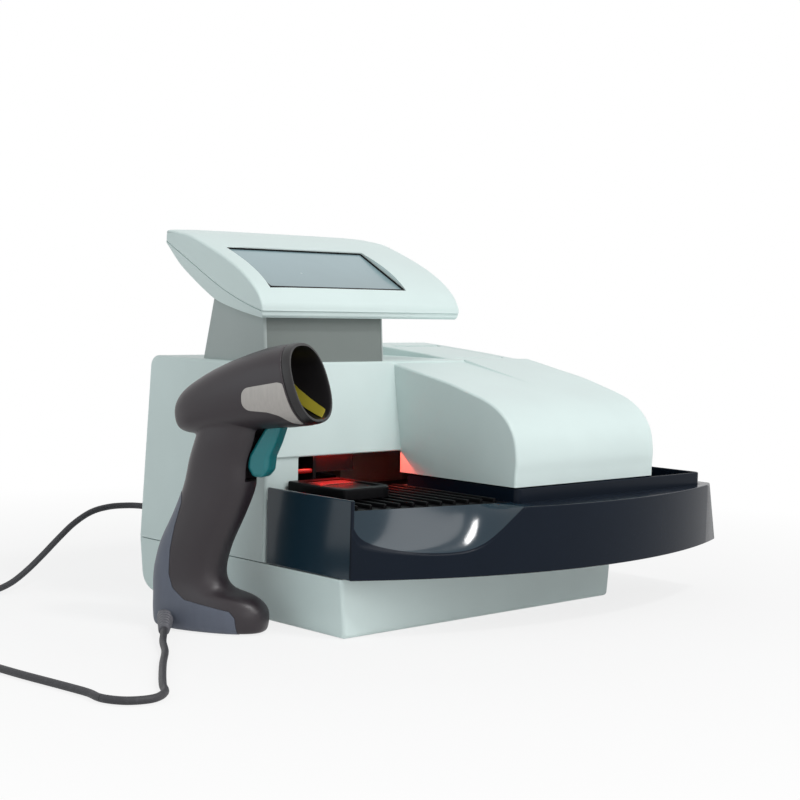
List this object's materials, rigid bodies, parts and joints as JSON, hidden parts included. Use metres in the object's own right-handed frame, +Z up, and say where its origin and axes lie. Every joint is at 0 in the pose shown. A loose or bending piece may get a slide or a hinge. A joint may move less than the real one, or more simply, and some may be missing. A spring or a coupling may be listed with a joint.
{
  "type": "urine analyzer",
  "caption": "Bench-top strip analyzer with a tilted display, hooded reader, bowed slide-out tray with waste bin, receipt printer and a tethered hand scanner.",
  "frame": {"origin": "middle of the base's flat underside, on the bench", "axes": "+Z up, -Y out of the front, +X along the width to the right"},
  "size_m": [0.6284, 0.3743, 0.2896],
  "materials": {
    "casing": "satin moulded",
    "navy_gloss": "polished",
    "black_plastic": "fine texture",
    "rubber_black": "matt",
    "steel": "ground",
    "sheet_metal": "plated",
    "bronze": "sintered",
    "board": "solder mask",
    "screen": "polished",
    "led": "lit red",
    "paper": "thermal paper",
    "scanner_dark": "fine texture",
    "scanner_trim": "soft touch",
    "window_red": "polished",
    "label_silver": "satin, bare",
    "teal": "satin",
    "rocker_red": "polished",
    "cord_grey": "matt"
  },
  "bodies": {
    "chassis": {"base_pan": "casing", "rubber_feet": "rubber_black", "deck_plate": "sheet_metal", "main_cover": "casing", "strip_hood": "casing", "rear_panel": "sheet_metal", "panel_screws": "steel", "pedestal": "casing", "head_lower_shell": "casing", "head_upper_shell": "casing", "touch_panel": "screen", "lcd_module": "black_plastic", "main_board": "board", "power_supply": "sheet_metal", "power_inlet": "black_plastic", "switch_bezel": "black_plastic", "serial_port": "sheet_metal", "scanner_port": "black_plastic", "guide_rods": "steel", "rod_brackets": "sheet_metal", "motor_bracket": "sheet_metal", "stepper_motor": "black_plastic", "idler_bracket": "sheet_metal", "drive_belt": "rubber_black", "reading_bed": "black_plastic", "printer_frame": "black_plastic", "thermal_head": "black_plastic", "paper_spindle": "steel", "scanner_plug": "black_plastic", "cord_arch": "cord_grey", "cord_coil": "cord_grey", "cord_tie": "black_plastic", "cord_lead": "cord_grey"},
    "tray": {"front_tray": "navy_gloss", "strip_platform": "black_plastic", "loading_tongue": "black_plastic", "waste_bin": "navy_gloss"},
    "carriage": {"head_carriage": "black_plastic", "carriage_bushes": "bronze", "sensor_block": "black_plastic", "led_bar": "led", "strip_pusher": "black_plastic"},
    "drive": {"drive_pulley": "sheet_metal", "motor_shaft": "steel"},
    "idler": {"idler_pulley": "sheet_metal"},
    "lid": {"printer_lid": "casing", "lid_pins": "steel"},
    "platen": {"platen_roller": "rubber_black", "platen_shaft": "steel"},
    "roll": {"paper_roll": "paper"},
    "rocker": {"power_rocker": "rocker_red"},
    "scanner": {"scanner_shell_left": "scanner_dark", "scanner_shell_right": "scanner_dark", "handle_trim": "scanner_trim", "nozzle_rim": "scanner_dark", "scan_window": "window_red", "side_label": "label_silver", "strain_relief": "cord_grey"},
    "trigger": {"trigger": "teal"}
  },
  "joints": [
    {"name": "tray_slide", "type": "slide", "parent": "chassis", "child": "tray", "axis": [0, -1, 0], "range_m": [0, 0.09]},
    {"name": "carriage_slide", "type": "slide", "parent": "chassis", "child": "carriage", "axis": [1, 0, 0], "range_m": [0, 0.115]},
    {"name": "drive_spin", "type": "hinge", "parent": "chassis", "child": "drive", "pos_m": [-0.112, 0.068, 0.124], "axis": [0, 1, 0], "range_deg": [-10, 840]},
    {"name": "idler_spin", "type": "hinge", "parent": "chassis", "child": "idler", "pos_m": [0.112, 0.068, 0.124], "axis": [0, 1, 0], "range_deg": [-10, 840]},
    {"name": "lid_hinge", "type": "hinge", "parent": "chassis", "child": "lid", "pos_m": [0.109, 0.07, 0.19126], "axis": [-1, 0, 0], "range_deg": [0, 95]},
    {"name": "platen_spin", "type": "hinge", "parent": "chassis", "child": "platen", "pos_m": [0.109, 0.001, 0.18], "axis": [1, 0, 0], "continuous": true},
    {"name": "roll_spin", "type": "hinge", "parent": "chassis", "child": "roll", "pos_m": [0.109, 0.042, 0.171], "axis": [1, 0, 0], "continuous": true},
    {"name": "rocker_tilt", "type": "hinge", "parent": "chassis", "child": "rocker", "pos_m": [-0.026, 0.106, 0.076], "axis": [-1, 0, 0], "range_deg": [0, 18]},
    {"name": "scanner_lift", "type": "slide", "parent": "chassis", "child": "scanner", "axis": [0, 0, 1], "range_m": [0, 0.12]},
    {"name": "trigger_pull", "type": "hinge", "parent": "scanner", "child": "trigger", "pos_m": [-0.17153, -0.07766, 0.15582], "axis": [0.8988, 0.4384, 0], "range_deg": [0, 8], "stiffness_Nm_per_rad": 0.6, "springref_deg": -8.59}
  ],
  "couplings": [
    {"joint": "drive_spin", "follows": "carriage_slide", "rad_per_m": 125},
    {"joint": "idler_spin", "follows": "carriage_slide", "rad_per_m": 125},
    {"joint": "platen_spin", "follows": "roll_spin", "ratio": 4}
  ]
}
